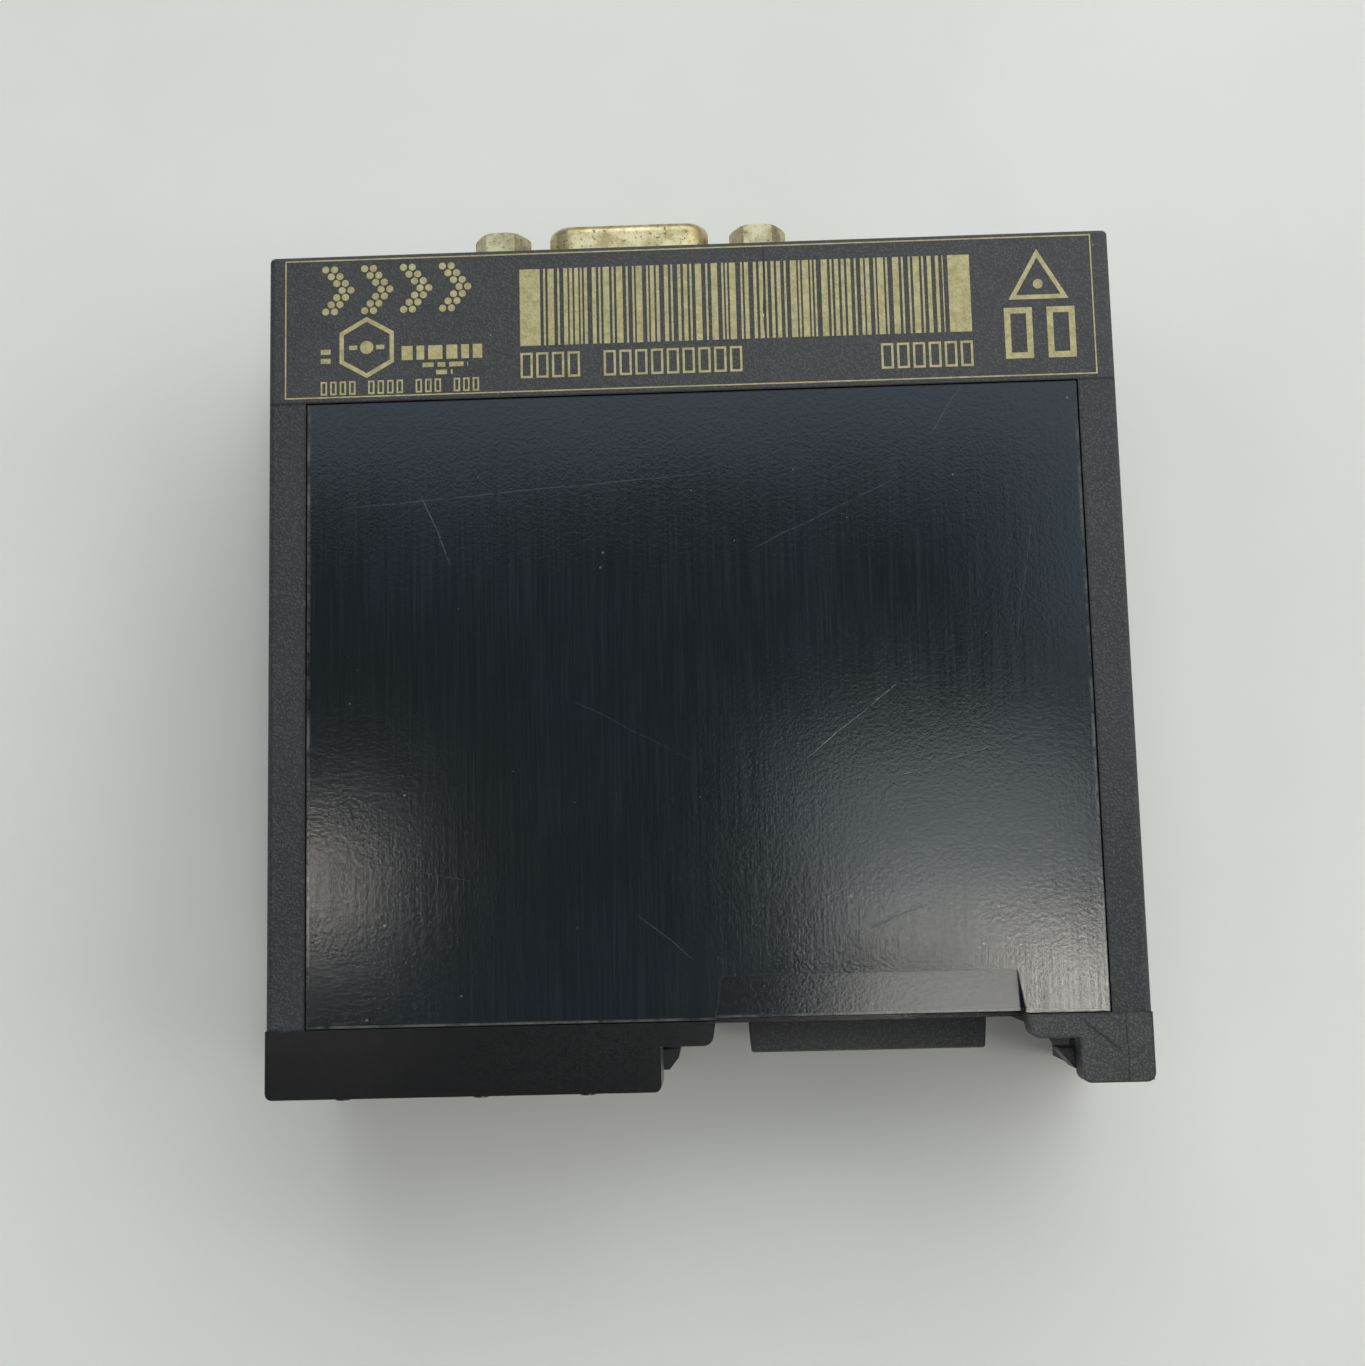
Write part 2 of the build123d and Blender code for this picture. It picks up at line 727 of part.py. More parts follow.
def gull_leads(centre, size, pitch, count, along_x, reach=1.1, lead=0.4):
    """Bent leads on two opposite sides of a package: shoulder, drop and foot."""
    x, y = centre
    knee = size[2] / 2
    edge = (size[0] if along_x else size[1]) / 2
    run = [pitch * (i - (count - 1) / 2) for i in range(count)]
    strips = [
        (edge + reach / 4, lift + knee, (reach / 2, 0.2)),
        (edge + reach / 2, lift + knee / 2 + 0.05, (0.2, knee + 0.1)),
        (edge + 3 * reach / 4, lift + 0.1, (reach / 2, 0.2)),
    ]
    for out, z, (length, tall) in strips:
        if along_x:
            blocks([(x + s * out, y + step, z) for s in (-1, 1) for step in run], (length, lead, tall))
        else:
            blocks([(x + step, y + s * out, z) for s in (-1, 1) for step in run], (lead, length, tall))


controller_at = (-20.0, -6.0)
controller_size = (14.0, 14.0, 1.8)
bus_asic_at = (-14.3, 12.5)
bus_asic_size = (12.0, 12.0, 2.6)
memory_at = (2.5, 0.0)
memory_size = (12.0, 10.0, 1.3)
driver_at = (19.0, -13.0)
driver_size = (5.0, 4.0, 1.6)

with BuildPart() as controller_chip:
    chip(controller_at, controller_size)
    chamfer(controller_chip.edges().filter_by(Axis.Z).sort_by(Axis.X)[-1:], 1.0)
save(controller_chip, "controller_chip")

with BuildPart() as bus_chip:
    chip(bus_asic_at, bus_asic_size)
    chamfer(bus_chip.edges().filter_by(Axis.Z).sort_by(Axis.X)[-1:], 0.8)
save(bus_chip, "bus_chip")

with BuildPart() as memory_chip:
    chip(memory_at, memory_size)
save(memory_chip, "memory_chip")

with BuildPart() as driver_chip:
    chip(driver_at, driver_size)
save(driver_chip, "driver_chip")

with BuildPart() as chip_leads:
    for along_x in (True, False):
        gull_leads(controller_at, controller_size, 1.0, 12, along_x)
        gull_leads(bus_asic_at, bus_asic_size, 1.27, 8, along_x)
    gull_leads(memory_at, memory_size, 1.0, 9, True)
    gull_leads(driver_at, driver_size, 1.27, 4, False)
save(chip_leads, "chip_leads")

with BuildPart() as optocouplers:
    for i in range(3):
        chip((14.0 + 8.2 * i, -3.5), (6.4, 4.6, 3.6))
save(optocouplers, "optocouplers")

with BuildPart() as power_converter:
    chip((24.0, 13.0), (20.0, 14.0, 9.5), 0.4)
    fillet(power_converter.edges().filter_by(Axis.Z), 0.8)
    fillet(power_converter.faces().sort_by(Axis.Z)[-1].edges(), 0.5)
save(power_converter, "power_converter")

crystal_at = (-1.1, 13.0)

with BuildPart() as crystal:
    with BuildSketch(Plane.XY.offset(lift)):
        with Locations(crystal_at):
            SlotOverall(11.0, 4.6)
    extrude(amount=0.7)
    with BuildSketch(Plane.XY.offset(lift + 0.7)):
        with Locations(crystal_at):
            SlotOverall(10.2, 3.8)
    extrude(amount=2.8)
    fillet(crystal.faces().sort_by(Axis.Z)[-1].edges(), 0.5)
save(crystal, "crystal")

capacitor_places = [(26.5, -9.5), (4.0, 24.0), (8.7, 12.6)]
capacitor_r = 3.15

with BuildPart() as capacitors:
    for place in capacitor_places:
        with BuildSketch(Plane.XY.offset(lift + 1.2)):
            with Locations(place):
                Circle(capacitor_r)
        extrude(amount=6.2)
    fillet(capacitors.faces().group_by(Axis.Z)[-1].edges(), 0.6)
save(capacitors, "capacitors")

with BuildPart() as capacitor_seats:
    for place in capacitor_places:
        with BuildSketch(Plane.XY.offset(lift)):
            with Locations(place):
                RectangleRounded(6.6, 6.6, 0.9)
        extrude(amount=1.1)
save(capacitor_seats, "capacitor_seats")

with BuildPart() as choke:
    with BuildSketch(Plane.XY.offset(lift)):
        with Locations((20.0, 25.0)):
            RectangleRounded(9.0, 7.0, 1.2)
    extrude(amount=4.5)
    with BuildSketch(Plane.XY.offset(lift + 4.5)):
        with Locations((20.0, 25.0)):
            Circle(2.6)
            Circle(1.4, mode=Mode.SUBTRACT)
    extrude(amount=-1.2, mode=Mode.SUBTRACT)
save(choke, "choke")

with BuildPart() as chip_resistors:
    blocks([(-5.5 + 2.6 * i, y, lift + 0.3) for i in range(6) for y in (17.6, 19.4)], (2.0, 1.2, 0.6))
    blocks([(-30.5, -14.0 + 3.0 * i, lift + 0.3) for i in range(5)], (1.2, 2.0, 0.6))
save(chip_resistors, "chip_resistors")

# ---------------------------------------------------------------- indicators and labels of the front
led_front = board_front + 1.2
foil_front = y_face + 0.05
foil_rear = y_face + foil_sunk

with BuildPart() as status_leds:
    for x in led_x:
        block((x - 1.3, x + 1.3), (led_front, led_front + 2.0), (lift, led_z + 1.2))
save(status_leds, "status_leds")

with BuildPart() as light_pipes:
    with BuildSketch(facing_front(led_front - gap)):
        for x in led_x:
            with Locations((x, led_z)):
                Circle(led_hole_r - 0.08)
    extrude(amount=led_front - gap - y_face + 0.15)
    fillet(light_pipes.faces().group_by(Axis.Y)[0].edges(), 0.3)
save(light_pipes, "light_pipes")

with BuildPart() as status_foil:
    with BuildSketch(facing_front(foil_rear - 0.02)):
        with Locations((foil_x, z_mid)):
            RectangleRounded(foil_size[0] - 0.2, foil_size[1] - 0.2, 0.7)
        for x in led_x:
            with Locations((x, led_z)):
                Circle(led_hole_r + 0.1, mode=Mode.SUBTRACT)
    extrude(amount=foil_rear - 0.02 - foil_front)
save(status_foil, "status_foil")

card_rear = y_face + card_sunk
with BuildPart() as name_card:
    with BuildSketch(facing_front(card_rear - 0.02)):
        with Locations((card_x, z_mid)):
            RectangleRounded(card_size[0] - 0.4, card_size[1] - 0.4, 0.4)
    extrude(amount=0.3)
save(name_card, "name_card")

with BuildPart() as card_window:
    with BuildSketch(facing_front(card_rear - 0.35)):
        with Locations((card_x, z_mid)):
            RectangleRounded(card_size[0] - 0.1, card_size[1] - 0.1, 0.55)
    extrude(amount=0.8)
save(card_window, "card_window")
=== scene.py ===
"""Looks for the slim rail module: a finish for every CAD part, the gold print, floor, light and camera.

Everything is in metres, in the frame of the CAD model: +Z up, -Y the module's front, +X its lower end.
The print, and the scratches and cracks that the materials draw, are placed in millimetres.
"""

import math

import bmesh
import bpy
from mathutils import Euler, Matrix, Vector


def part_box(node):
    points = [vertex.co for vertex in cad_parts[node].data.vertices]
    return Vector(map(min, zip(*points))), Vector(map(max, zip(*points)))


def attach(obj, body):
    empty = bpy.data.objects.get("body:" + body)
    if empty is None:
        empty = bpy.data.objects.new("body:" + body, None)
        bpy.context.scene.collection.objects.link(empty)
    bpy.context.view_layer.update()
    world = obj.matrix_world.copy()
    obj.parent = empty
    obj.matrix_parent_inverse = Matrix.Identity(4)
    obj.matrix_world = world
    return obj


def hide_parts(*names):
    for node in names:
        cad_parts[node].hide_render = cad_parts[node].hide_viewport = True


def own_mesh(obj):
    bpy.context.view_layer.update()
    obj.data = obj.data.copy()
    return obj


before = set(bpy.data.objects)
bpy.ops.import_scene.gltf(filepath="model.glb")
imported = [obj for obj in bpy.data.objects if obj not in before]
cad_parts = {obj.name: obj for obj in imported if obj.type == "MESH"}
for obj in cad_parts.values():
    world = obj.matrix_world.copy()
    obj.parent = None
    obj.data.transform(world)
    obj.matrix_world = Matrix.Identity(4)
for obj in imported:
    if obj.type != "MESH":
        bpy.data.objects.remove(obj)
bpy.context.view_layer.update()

mm = 0.001
scene = bpy.context.scene
scene.view_settings.view_transform = "Standard"
scene.view_settings.look = "None"

# ---------------------------------------------------------------- places read from the model
cap_low, cap_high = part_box("front_cap")
spring_low, spring_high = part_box("clip_spring")
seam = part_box("body_shell")[0].y
cover_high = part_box("side_cover")[1]

# ---------------------------------------------------------------- shader helpers


def linear(red, green, blue):
    """A colour given on the usual 0 to 255 scale, as the shaders want it."""

    def channel(value):
        value = value / 255
        return value / 12.92 if value <= 0.04045 else ((value + 0.055) / 1.055) ** 2.4

    return (channel(red), channel(green), channel(blue), 1.0)


def toned(colour, factor):
    """The same colour, darker or paler by a factor."""
    return tuple(min(1.0, c * factor) for c in colour[:3]) + (1.0,)


class Tree:
    """Short calls for adding nodes to a material or a group."""

    def __init__(self, tree):
        self.tree = tree

    def feed(self, socket, value):
        """Links another node's output to this socket, or sets a plain value there."""
        if isinstance(value, bpy.types.NodeSocket):
            self.tree.links.new(value, socket)
        else:
            socket.default_value = value

    def node(self, kind, inputs=(), **settings):
        """A node with these settings, and with its inputs fed by name or by number."""
        made = self.tree.nodes.new(kind)
        for name, value in settings.items():
            setattr(made, name, value)
        for name, value in dict(inputs).items():
            self.feed(made.inputs[name], value)
        return made

    def math(self, operation, *values):
        """The result of one sum on numbers."""
        return self.node("ShaderNodeMath", enumerate(values), operation=operation).outputs[0]

    def times(self, a, b):
        return self.math("MULTIPLY", a, b)

    def plus(self, a, b):
        return self.math("ADD", a, b)

    def minus(self, a, b):
        return self.math("SUBTRACT", a, b)

    def inverse(self, mask):
        """1 where the mask is 0, and 0 where it is 1."""
        return self.minus(1.0, mask)

    def mix(self, share, a, b):
        """A colour between a and b."""
        return self.node("ShaderNodeMix", {0: share, 6: a, 7: b}, data_type="RGBA").outputs[2]

    def blend(self, share, a, b):
        """A number between a and b."""
        return self.node("ShaderNodeMix", {0: share, 2: a, 3: b}, data_type="FLOAT").outputs[0]

    def laid(self, under, colour, mask, strength=1.0):
        """A colour laid over another where the mask says, as opaque as strength says."""
        return self.mix(self.times(mask, strength), under, colour)

    def ramp(self, value, low, high):
        """0 below low, 1 above high, smooth between."""
        inputs = {"Value": value, "From Min": low, "From Max": high}
        return self.node("ShaderNodeMapRange", inputs, interpolation_type="SMOOTHSTEP").outputs["Result"]

    def noise(self, where, scale, detail=3.0, rough=0.55):
        """Cloudy noise; scale is about how many blobs fit in a metre."""
        inputs = {"Vector": where, "Scale": scale, "Detail": detail, "Roughness": rough}
        return self.node("ShaderNodeTexNoise", inputs).outputs["Fac"]

    def scaled(self, vector, factor):
        """A vector times a number."""
        return self.node("ShaderNodeVectorMath", {0: vector, "Scale": factor}, operation="SCALE").outputs[0]

    def drawn_out(self, where, factors):
        """The place with each axis scaled on its own; a small factor draws a pattern out along it."""
        return self.node("ShaderNodeMapping", {"Vector": where, "Scale": factors}).outputs[0]


# ---------------------------------------------------------------- shader groups


def new_group(name, inputs, outputs):
    """A node group that takes Vector and numbers with these defaults, and puts out numbers."""
    group = bpy.data.node_groups.new(name, "ShaderNodeTree")
    group.interface.new_socket("Vector", in_out="INPUT", socket_type="NodeSocketVector")
    for label, value in inputs.items():
        socket = group.interface.new_socket(label, in_out="INPUT", socket_type="NodeSocketFloat")
        socket.default_value = value
    for label in outputs:
        group.interface.new_socket(label, in_out="OUTPUT", socket_type="NodeSocketFloat")
    start = group.nodes.new("NodeGroupInput")
    end = group.nodes.new("NodeGroupOutput")
    return group, Tree(group), start.outputs, end.inputs


def moulded_grain():
    """Fine leather-like spark-eroded grain: a height, and a mask of its high points."""
    group, t, given, out = new_group("moulded_grain", {"Scale": 2600.0, "Wobble": 0.6}, ["Height", "Peaks"])
    where = t.scaled(given["Vector"], given["Scale"])
    bend = t.node("ShaderNodeTexNoise", {"Vector": where, "Scale": 0.8, "Detail": 2.0})
    shift = t.scaled(bend.outputs["Color"], given["Wobble"])
    moved = t.node("ShaderNodeVectorMath", {0: where, 1: shift}, operation="ADD").outputs[0]
    lumps = {"Vector": moved, "Scale": 1.0, "Smoothness": 0.7}
    cells = t.node("ShaderNodeTexVoronoi", lumps, feature="SMOOTH_F1")
    fine = t.noise(moved, 1.7, 4.0, 0.6)
    height = t.minus(t.times(fine, 0.9), t.times(cells.outputs["Distance"], 0.6))
    t.feed(out["Height"], height)
    t.feed(out["Peaks"], t.ramp(height, 0.16, 0.34))
    return group


def hairline():
    """One thin line along local X, from the origin: tapered at its ends and slightly wandering."""
    group, t, given, out = new_group("hairline", {"Length": 10 * mm, "Width": 0.05 * mm}, ["Mask"])
    place = t.node("ShaderNodeSeparateXYZ", {"Vector": given["Vector"]}).outputs
    wander = t.times(t.minus(t.noise(given["Vector"], 180.0, 2.0), 0.5), 0.5 * mm)
    off = t.math("ABSOLUTE", t.plus(place["Y"], wander))
    along = t.math("DIVIDE", place["X"], given["Length"])
    taper = t.times(t.ramp(along, 0.0, 0.2), t.inverse(t.ramp(along, 0.8, 1.0)))
    core = t.inverse(t.ramp(t.math("DIVIDE", off, given["Width"]), 0.4, 1.0))
    broken = t.ramp(t.noise(given["Vector"], 1500.0, 2.0), 0.3, 0.5)
    t.feed(out["Mask"], t.times(t.times(core, taper), broken))
    return group


def dust_specks():
    """Small specks, sparse, of uneven size; Share is how many of the cells hold one."""
    group, t, given, out = new_group("dust_specks", {"Scale": 900.0, "Share": 0.08}, ["Mask"])
    largest = 0.085  # a speck's radius against its cell
    cells = t.node("ShaderNodeTexVoronoi", {"Vector": given["Vector"], "Scale": given["Scale"]})
    chance = t.node("ShaderNodeSeparateColor", {"Color": cells.outputs["Color"]}).outputs
    inside = t.math("LESS_THAN", cells.outputs["Distance"], t.times(chance[1], largest))
    picked = t.math("LESS_THAN", chance[0], given["Share"])
    t.feed(out["Mask"], t.times(inside, picked))
    return group


def edge_shade_and_wear():
    """Edges, where a rounded normal leaves the real one: the whole edge, which carries painted shade,
    and the broken nicks along it.
    """
    group, t, given, out = new_group("edge_shade_and_wear", {"Radius": 0.3 * mm}, ["Edge", "Nicks"])
    rounded = t.node("ShaderNodeBevel", {"Radius": given["Radius"]}, samples=6).outputs[0]
    real = t.node("ShaderNodeNewGeometry").outputs["True Normal"]
    agree = t.node("ShaderNodeVectorMath", {0: rounded, 1: real}, operation="DOT_PRODUCT").outputs["Value"]
    edge = t.ramp(t.inverse(agree), 0.01, 0.12)
    broken = t.ramp(t.noise(given["Vector"], 900.0, 4.0, 0.7), 0.58, 0.68)
    t.feed(out["Edge"], edge)
    t.feed(out["Nicks"], t.times(edge, broken))
    return group


grain_group = moulded_grain()
line_group = hairline()
speck_group = dust_specks()
edge_shade_and_wear_group = edge_shade_and_wear()

# ---------------------------------------------------------------- material helpers


def start_material(name):
    """A new material: itself, its Tree, its shader, and the place on the object."""
    material = bpy.data.materials.new(name)
    material.use_nodes = True
    t = Tree(material.node_tree)
    shader = material.node_tree.nodes["Principled BSDF"]
    where = t.node("ShaderNodeTexCoord").outputs["Object"]
    return material, t, shader, where


def placed_group(t, group, where, **values):
    """One of the shared groups, placed in a material with its own values; gives its outputs."""
    made = t.node("ShaderNodeGroup", node_tree=group)
    t.feed(made.inputs["Vector"], where)
    for name, value in values.items():
        made.inputs[name].default_value = value
    return made.outputs


def line_mask(t, where, spot, turn, run, wide):
    """A hairline from spot (x, y in mm), turned by so many degrees, run and wide in mm."""
    placed = t.node("ShaderNodeMapping", {"Vector": where}, vector_type="TEXTURE")
    placed.inputs["Location"].default_value = (spot[0] * mm, spot[1] * mm, 0.0)
    placed.inputs["Rotation"].default_value = (0.0, 0.0, math.radians(turn))
    return placed_group(t, line_group, placed.outputs[0], Length=run * mm, Width=wide * mm)["Mask"]


def add_bump(t, shader, height, depth, under=None):
    """Bumps the surface by a height, on top of another bump if there is one under it."""
    made = t.node("ShaderNodeBump", {"Height": height, "Distance": depth})
    if under is not None:
        t.feed(made.inputs["Normal"], under)
    t.feed(shader.inputs["Normal"], made.outputs[0])
    return made.outputs[0]


def finish_shader(t, shader, colour, rough, metallic=0.0, **plain):
    """Feeds the shader's main inputs; plain sets others, with _ for the space in their names."""
    t.feed(shader.inputs["Base Color"], colour)
    t.feed(shader.inputs["Roughness"], rough)
    t.feed(shader.inputs["Metallic"], metallic)
    for name, value in plain.items():
        shader.inputs[name.replace("_", " ")].default_value = value


# ---------------------------------------------------------------- materials

painted_peak_highlight = linear(150, 148, 140)
loose_dust = linear(170, 168, 160)
painted_edge_shade = linear(10, 10, 11)
pale_nick = linear(140, 140, 138)
cut_line = linear(8, 8, 9)
open_seam = linear(4, 4, 5)
painted_dark_reflection = linear(7, 7, 9)
brown_spot = linear(70, 56, 38)
bright_metal = linear(226, 218, 190)

# a crack that runs back from the cap's front edge: spot, turn, run, width
cap_crack = (((-7.0, -35.4), 89.0, 9.6, 0.09),)
# a knife mark and a mould line on the short leg
leg_marks = (((-31.6, 34.6), 138.0, 5.2, 0.16), ((-35.7, 33.8), 90.0, 7.4, 0.08))
# scratches on the cover: spot, turn, run, strength
cover_marks = (
    ((33.0, -11.2), 184.0, 36.0, 0.45),
    ((24.5, -13.0), 112.0, 8.0, 0.8),
    ((12.0, 6.0), 152.0, 14.0, 0.25),
    ((-4.0, -6.0), 205.0, 17.0, 0.25),
    ((-9.0, 12.5), 218.0, 12.0, 0.5),
    ((-17.0, 14.0), 196.0, 9.0, 0.6),
    ((-21.0, -16.0), 236.0, 8.0, 0.5),
    ((30.0, 20.0), 168.0, 11.0, 0.4),
    ((6.0, 25.0), 140.0, 7.0, 0.5),
    ((-28.0, 3.0), 260.0, 13.0, 0.35),
    ((-14.0, 27.0), 200.0, 6.0, 0.7),
)


def grained_plastic(
    name, colour, pale, rough, depth, scale=4200.0, peak_highlight=0.1, seam_at=None, lines=(), glossy_span=None
):
    """Dark moulded plastic with fine grain, a painted highlight on its grain peaks, smooth edges darkened
    with painted shade, and pale nicks.

    A dark seam runs across at y = seam_at. Where glossy_span is (x, x), the grain fades and the
    surface turns glossy between the two, and its colour there is painted near black, a painted
    dark reflection.
    """
    material, t, shader, where = start_material(name)
    place = t.node("ShaderNodeSeparateXYZ", {"Vector": where}).outputs
    grain = placed_group(t, grain_group, where, Scale=scale)
    specks = placed_group(t, speck_group, where, Scale=900.0, Share=0.05)["Mask"]
    edges = placed_group(t, edge_shade_and_wear_group, where, Radius=0.5 * mm)
    cloud = t.noise(where, 60.0, 4.0, 0.6)
    body = t.mix(t.ramp(cloud, 0.35, 0.7), colour, pale)
    # painted highlight: the grain's high points are painted paler
    body = t.laid(body, painted_peak_highlight, grain["Peaks"], peak_highlight)
    body = t.laid(body, loose_dust, specks, 0.4)
    # painted shade: the edges are painted darker
    body = t.laid(body, painted_edge_shade, edges["Edge"], 0.75)
    body = t.laid(body, pale_nick, edges["Nicks"], 0.3)
    for spot, turn, run, wide in lines:
        body = t.laid(body, cut_line, line_mask(t, where, spot, turn, run, wide), 0.85)
    if seam_at is not None:
        gap = t.math("ABSOLUTE", t.minus(place["Y"], seam_at))
        body = t.laid(body, open_seam, t.inverse(t.ramp(gap, 0.05 * mm, 0.16 * mm)))
    gloss = t.blend(grain["Peaks"], rough + 0.06, rough - 0.06)
    gloss = t.plus(gloss, t.times(t.minus(cloud, 0.5), 0.16))
    height = grain["Height"]
    if glossy_span is not None:
        glossy_rough = 0.19
        smooth = t.ramp(place["X"], *glossy_span)
        # painted dark reflection: the glossy span is painted near black
        body = t.laid(body, painted_dark_reflection, smooth)
        gloss = t.minus(gloss, t.times(smooth, rough - glossy_rough))
        height = t.times(height, t.blend(smooth, 1.0, 0.04))
    add_bump(t, shader, height, depth)
    finish_shader(t, shader, body, gloss)
    return material


def smooth_plastic(name, colour, rough=0.35, coat=0.0):
    """Plain moulded plastic with faint mottling and a few specks."""
    material, t, shader, where = start_material(name)
    cloud = t.noise(where, 400.0)
    specks = placed_group(t, speck_group, where, Scale=1500.0, Share=0.04)["Mask"]
    body = t.laid(t.mix(cloud, toned(colour, 0.75), colour), linear(150, 148, 142), specks, 0.3)
    add_bump(t, shader, t.noise(where, 2600.0), 0.008 * mm)
    finish_shader(t, shader, body, t.blend(cloud, rough - 0.06, rough + 0.1), Coat_Weight=coat)
    return material


def plated_metal(name, clean, tarnish, rough, spots):
    """Plated steel with clouded tarnish and small brown spots."""
    material, t, shader, where = start_material(name)
    cloud = t.noise(where, 420.0, 5.0, 0.65)
    fine = t.noise(where, 2600.0, 4.0, 0.7)
    spot = t.times(t.ramp(fine, 0.56, 0.66), spots)
    nicks = placed_group(t, edge_shade_and_wear_group, where, Radius=0.2 * mm)["Nicks"]
    body = t.mix(t.ramp(cloud, 0.38, 0.66), clean, tarnish)
    body = t.laid(body, brown_spot, spot)
    body = t.laid(body, bright_metal, nicks)
    gloss = t.plus(t.blend(cloud, rough - 0.06, rough + 0.16), t.times(spot, 0.3))
    add_bump(t, shader, t.plus(fine, t.times(cloud, 0.5)), 0.03 * mm)
    finish_shader(t, shader, body, gloss, t.inverse(t.times(spot, 0.7)))
    return material


def clear_plastic(name, tint, rough=0.15):
    """Clear moulded plastic, faintly uneven."""
    material, t, shader, where = start_material(name)
    cloud = t.noise(where, 500.0)
    add_bump(t, shader, cloud, 0.01 * mm)
    body = t.mix(cloud, tint, toned(tint, 1.1))
    finish_shader(t, shader, body, rough, Transmission_Weight=0.85, IOR=1.49)
    return material


def cover_plastic():
    """The side cover: smooth blue-black, faintly streaked, with scratches, pits, specks and a rubbed rim."""
    material, t, shader, where = start_material("side_cover_gloss")
    place = t.node("ShaderNodeSeparateXYZ", {"Vector": where}).outputs
    cloud = t.noise(where, 38.0, 5.0, 0.6)
    haze = t.noise(where, 9.0, 4.0, 0.6)
    chips = t.noise(where, 260.0, 6.0, 0.8)
    streaks = t.noise(t.drawn_out(where, (1.0, 0.025, 1.0)), 4200.0, 3.0, 0.6)
    edge = placed_group(t, edge_shade_and_wear_group, where, Radius=0.2 * mm)["Edge"]

    body = t.mix(t.ramp(cloud, 0.35, 0.72), linear(6, 16, 20), linear(10, 23, 30))
    body = t.laid(body, linear(120, 130, 138), t.ramp(streaks, 0.4, 0.8), 0.02)

    scratches = None
    for spot, turn, run, strength in cover_marks:
        mark = t.times(line_mask(t, where, spot, turn, run, 0.07), strength)
        scratches = mark if scratches is None else t.math("MAXIMUM", scratches, mark)
    body = t.laid(body, linear(130, 138, 144), scratches, 0.22)

    for scale, share, strength in ((620.0, 0.16, 0.3), (1100.0, 0.07, 0.25)):
        specks = placed_group(t, speck_group, where, Scale=scale, Share=share)["Mask"]
        body = t.laid(body, linear(150, 150, 148), specks, strength)

    # small pits, only towards the upper end and away from the rear
    upper = t.inverse(t.ramp(place["X"], -22 * mm, -16 * mm))
    ahead = t.inverse(t.ramp(place["Y"], 6 * mm, 16 * mm))
    pits = placed_group(t, speck_group, where, Scale=560.0, Share=0.4)["Mask"]
    body = t.laid(body, linear(150, 152, 154), t.times(pits, t.times(upper, ahead)), 0.4)

    # the rim is rubbed pale in places, more along the rear than along the sides
    side_gap = t.minus(cover_high.x - 1.6 * mm, t.math("ABSOLUTE", place["X"]))
    rear_gap = t.minus(cover_high.y, place["Y"])
    side_rub = t.times(t.inverse(t.ramp(side_gap, 0.0, 0.3 * mm)), t.ramp(chips, 0.42, 0.64))
    rear_rub = t.times(t.inverse(t.ramp(rear_gap, 0.1 * mm, 0.3 * mm)), t.ramp(chips, 0.36, 0.6))
    body = t.laid(body, linear(150, 146, 140), t.math("MAXIMUM", side_rub, rear_rub), 0.4)
    # painted shade: the cover's edges are painted near black
    body = t.laid(body, linear(4, 5, 6), edge, 0.8)

    gloss = t.blend(t.ramp(haze, 0.35, 0.7), 0.12, 0.19)
    gloss = t.plus(gloss, t.times(t.minus(streaks, 0.5), 0.16))
    gloss = t.plus(gloss, t.times(edge, 0.4))
    waves = add_bump(t, shader, t.noise(where, 22.0), 0.08 * mm)
    fine = t.plus(t.noise(where, 3200.0, 3.0, 0.6), t.times(streaks, 0.3))
    add_bump(t, shader, t.minus(fine, scratches), 0.01 * mm, waves)
    finish_shader(t, shader, body, gloss)
    return material


def gold_ink():
    """Screen-printed ink: dull gold, grainy, with pinholes where the plastic shows."""
    material, t, shader, where = start_material("gold_print")
    grain = placed_group(t, grain_group, where, Scale=3000.0)
    holes = placed_group(t, speck_group, where, Scale=1500.0, Share=0.16)["Mask"]
    mottle = t.noise(where, 1400.0, 5.0, 0.7)
    body = t.mix(t.ramp(mottle, 0.35, 0.65), linear(158, 149, 102), linear(186, 176, 128))
    # painted highlight: the ink's grain peaks are painted paler
    body = t.laid(body, linear(192, 188, 150), grain["Peaks"], 0.25)
    body = t.laid(body, linear(84, 78, 60), holes, 0.8)
    for spot, turn, run, wide in cap_crack:
        body = t.laid(body, linear(14, 13, 11), line_mask(t, where, spot, turn, run, wide))
    add_bump(t, shader, grain["Height"], 0.05 * mm)
    finish_shader(t, shader, body, t.blend(mottle, 0.42, 0.6), 0.25)
    return material


def board_laminate():
    """Green solder mask with tracks under it."""
    material, t, shader, where = start_material("board_laminate")
    bricks = {"Vector": where, "Scale": 420.0, "Mortar Size": 0.03}
    tracks = t.node("ShaderNodeTexBrick", bricks).outputs["Fac"]
    lacquer = t.mix(t.noise(where, 250.0), linear(12, 66, 42), linear(18, 84, 54))
    add_bump(t, shader, tracks, 0.03 * mm)
    finish_shader(t, shader, t.laid(lacquer, linear(46, 120, 78), tracks, 0.5), 0.28, Coat_Weight=0.3)
    return material


def brushed_steel(name, colour, rough=0.3):
    """Bare metal with fine streaks along X."""
    material, t, shader, where = start_material(name)
    streaks = t.noise(t.drawn_out(where, (1.0, 12.0, 12.0)), 700.0, 4.0)
    add_bump(t, shader, streaks, 0.01 * mm)
    body = t.mix(streaks, toned(colour, 0.7), colour)
    finish_shader(t, shader, body, t.blend(streaks, rough, rough + 0.15), 1.0)
    return material


